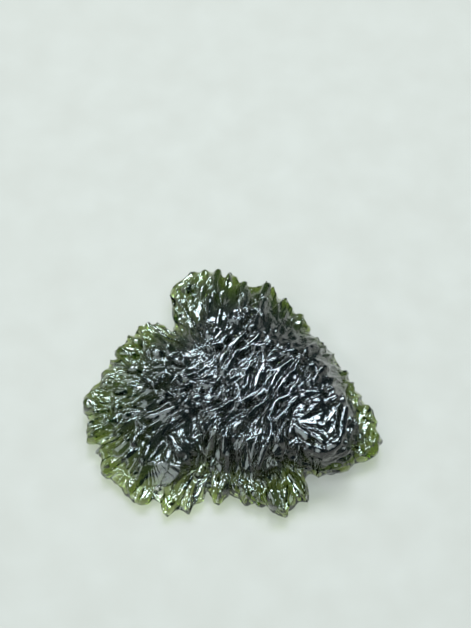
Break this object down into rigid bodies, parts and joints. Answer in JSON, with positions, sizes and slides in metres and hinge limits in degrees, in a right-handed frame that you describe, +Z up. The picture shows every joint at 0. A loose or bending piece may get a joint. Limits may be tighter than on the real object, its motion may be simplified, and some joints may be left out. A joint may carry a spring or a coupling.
{
  "type": "moldavite",
  "caption": "Rough piece of natural green glass, a lopsided shield with a thin scalloped rim and an etched surface of troughs and sharp crests, lying on its underside.",
  "frame": {"origin": "middle of the stone's box in plan, at the height of the flat that it rests on", "axes": "+X along the longest side, towards the thick end, and +Z up through the thickness"},
  "size_m": [0.0234, 0.0216, 0.0057],
  "materials": {
    "etched_green_glass": "natural etched glass, glossy crests and fine pits, bottle green where thin and near black where thick"
  },
  "bodies": {
    "root": {"moldavite": "etched_green_glass"}
  },
  "joints": []
}
